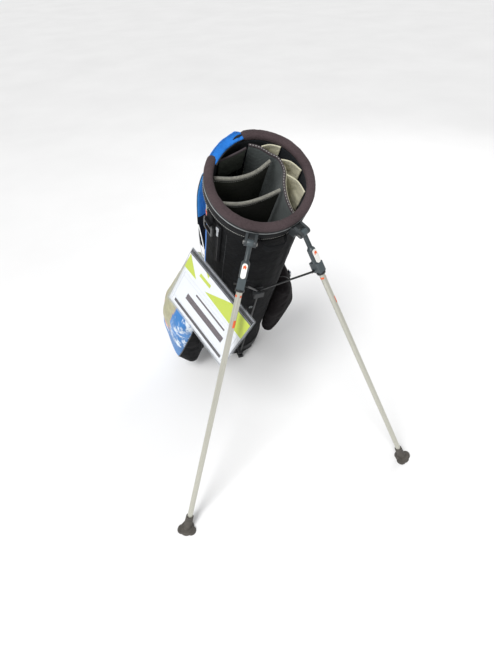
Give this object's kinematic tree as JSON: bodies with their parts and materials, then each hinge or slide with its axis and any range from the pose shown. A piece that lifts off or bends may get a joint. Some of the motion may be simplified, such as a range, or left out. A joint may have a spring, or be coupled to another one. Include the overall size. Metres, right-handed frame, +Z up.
{
  "type": "golf stand bag",
  "caption": "Leaning golf stand bag on splayed folding legs with a hinged foot flap, divided mouth, side pockets, shoulder straps and a hanging card tag.",
  "frame": {"origin": "middle of the foot flap sole on the ground", "axes": "+Z up, the legs splay towards -Y, +X to the right seen from the legs side"},
  "size_m": [0.72, 0.8449, 0.875],
  "materials": {
    "black_fabric": "matt woven nylon",
    "blue_fabric": "woven nylon with a slight sheen",
    "brown_fabric": "matt brownish black nylon",
    "rim_fabric": "soft brown mauve mesh over foam",
    "collar_fabric": "dark grey coated fabric",
    "grey_divider": "grey stitched fabric with a bound edge",
    "fleece": "pale grey fleece",
    "cream_divider": "cream fabric",
    "dark_divider": "black lining fabric",
    "strap_fabric": "padded mesh",
    "base_plastic": "moulded, lightly textured",
    "leg_plastic": "moulded, satin",
    "black_plastic": "moulded, semi gloss",
    "window_plastic": "white, gloss",
    "leg_metal": "champagne anodised, satin",
    "stay_metal": "plain",
    "steel": "zinc plated",
    "wire": "black powder coat",
    "zip": "coil zipper on tape",
    "zip_pull": "polished",
    "foot_rubber": "grey brown, matt",
    "sole_rubber": "ribbed, matt",
    "sleeve_film": "clear film",
    "tag_card": "coated card",
    "tag_loop": "white cord loop"
  },
  "bodies": {
    "bag": {"base_cup": "base_plastic", "foot_hinge_pin": "steel", "trunk_front_panel": "black_fabric", "trunk_back_panel": "blue_fabric", "spine_stay": "stay_metal", "side_stays": "stay_metal", "collar_ring": "black_plastic", "collar_side_cover": "collar_fabric", "rim_padding": "rim_fabric", "lift_handle": "blue_fabric", "arc_divider": "grey_divider", "cross_divider_upper": "dark_divider", "cross_divider_lower": "dark_divider", "back_rail": "fleece", "wing_divider_1": "cream_divider", "wing_divider_2": "cream_divider", "wing_divider_3": "cream_divider", "leg_bracket_left": "leg_plastic", "leg_bracket_right": "leg_plastic", "bracket_screws": "steel", "leg_pivot_pin_left": "steel", "leg_pivot_pin_right": "steel", "rod_guides": "base_plastic", "belly_handle": "black_fabric", "spine_handle": "black_fabric", "hip_pad": "strap_fabric", "shoulder_strap_left": "strap_fabric", "shoulder_strap_right": "strap_fabric", "strap_buckles": "black_plastic", "left_pocket": "blue_fabric", "left_pocket_gusset": "black_fabric", "left_pocket_zipper": "zip", "right_pocket": "brown_fabric", "right_pocket_zipper": "zip", "accessory_zipper": "zip", "hook_tab": "black_fabric"},
    "foot_flap": {"foot_flap": "base_plastic", "flap_sole": "sole_rubber"},
    "push_rod": {"push_rod": "wire", "rod_yoke": "base_plastic"},
    "leg_left": {"leg_left_sleeve": "leg_plastic", "leg_left_window": "window_plastic", "leg_left_tube": "leg_metal", "leg_left_foot": "foot_rubber"},
    "leg_right": {"leg_right_sleeve": "leg_plastic", "leg_right_window": "window_plastic", "leg_right_tube": "leg_metal", "leg_right_foot": "foot_rubber"},
    "strut_left": {"strut_left": "wire"},
    "strut_right": {"strut_right": "wire"},
    "left_pocket_pull": {"left_pocket_pull": "zip_pull"},
    "right_pocket_pull": {"right_pocket_pull": "zip_pull"},
    "accessory_pull": {"accessory_pull": "zip_pull"},
    "towel_hook": {"towel_hook": "black_plastic"},
    "hang_tag": {"tag_loop": "tag_loop", "tag_sleeve": "sleeve_film", "tag_card": "tag_card"}
  },
  "joints": [
    {"name": "leg_left_fold", "type": "hinge", "parent": "bag", "child": "leg_left", "pos_m": [-0.0615, -0.43801, 0.71143], "axis": [0.8838, -0.4158, -0.2146], "range_deg": [0, 47.4]},
    {"name": "leg_right_fold", "type": "hinge", "parent": "bag", "child": "leg_right", "pos_m": [0.0615, -0.43801, 0.71143], "axis": [0.8838, 0.4158, 0.2146], "range_deg": [0, 47.4]},
    {"name": "strut_left_turn", "type": "hinge", "parent": "leg_left", "child": "strut_left", "pos_m": [-0.0914, -0.45501, 0.62124], "axis": [-0.8838, 0.4158, 0.2146], "range_deg": [0, 68.04]},
    {"name": "strut_right_turn", "type": "hinge", "parent": "leg_right", "child": "strut_right", "pos_m": [0.0914, -0.45501, 0.62124], "axis": [-0.8838, -0.4158, -0.2146], "range_deg": [0, 68.04]},
    {"name": "foot_flap_turn", "type": "hinge", "parent": "bag", "child": "foot_flap", "pos_m": [0, 0.0444, 0.014], "axis": [1, 0, 0], "range_deg": [0, 27.31]},
    {"name": "push_rod_slide", "type": "slide", "parent": "bag", "child": "push_rod", "axis": [0, 0.4586, -0.8886], "range_m": [0, 0.04576]},
    {"name": "towel_hook_swing", "type": "hinge", "parent": "bag", "child": "towel_hook", "pos_m": [-0.12221, -0.32125, 0.71542], "axis": [-0.225, 0.8658, 0.4469], "range_deg": [0, 12]},
    {"name": "hang_tag_turn", "type": "hinge", "parent": "towel_hook", "child": "hang_tag", "pos_m": [-0.147, -0.322, 0.713], "axis": [0.8365, 0.4979, 0.229], "range_deg": [0, 65.01]},
    {"name": "left_pocket_zip", "type": "slide", "parent": "bag", "child": "left_pocket_pull", "axis": [0, 0.3939, -0.9191], "range_m": [0, 0.14]},
    {"name": "right_pocket_zip", "type": "slide", "parent": "bag", "child": "right_pocket_pull", "axis": [0.2402, 0.4452, -0.8626], "range_m": [0, 0.075]},
    {"name": "accessory_zip", "type": "slide", "parent": "bag", "child": "accessory_pull", "axis": [0, 0.4586, -0.8886], "range_m": [0, 0.11]}
  ],
  "couplings": [
    {"joint": "leg_right_fold", "follows": "leg_left_fold", "ratio": 1},
    {"joint": "strut_left_turn", "follows": "leg_left_fold", "ratio": 1.4352},
    {"joint": "strut_right_turn", "follows": "leg_left_fold", "ratio": 1.4352},
    {"joint": "foot_flap_turn", "follows": "leg_left_fold", "ratio": 0.57595},
    {"joint": "push_rod_slide", "follows": "leg_left_fold", "m_per_rad": 0.055301},
    {"joint": "hang_tag_turn", "follows": "leg_left_fold", "ratio": 1.3713}
  ]
}
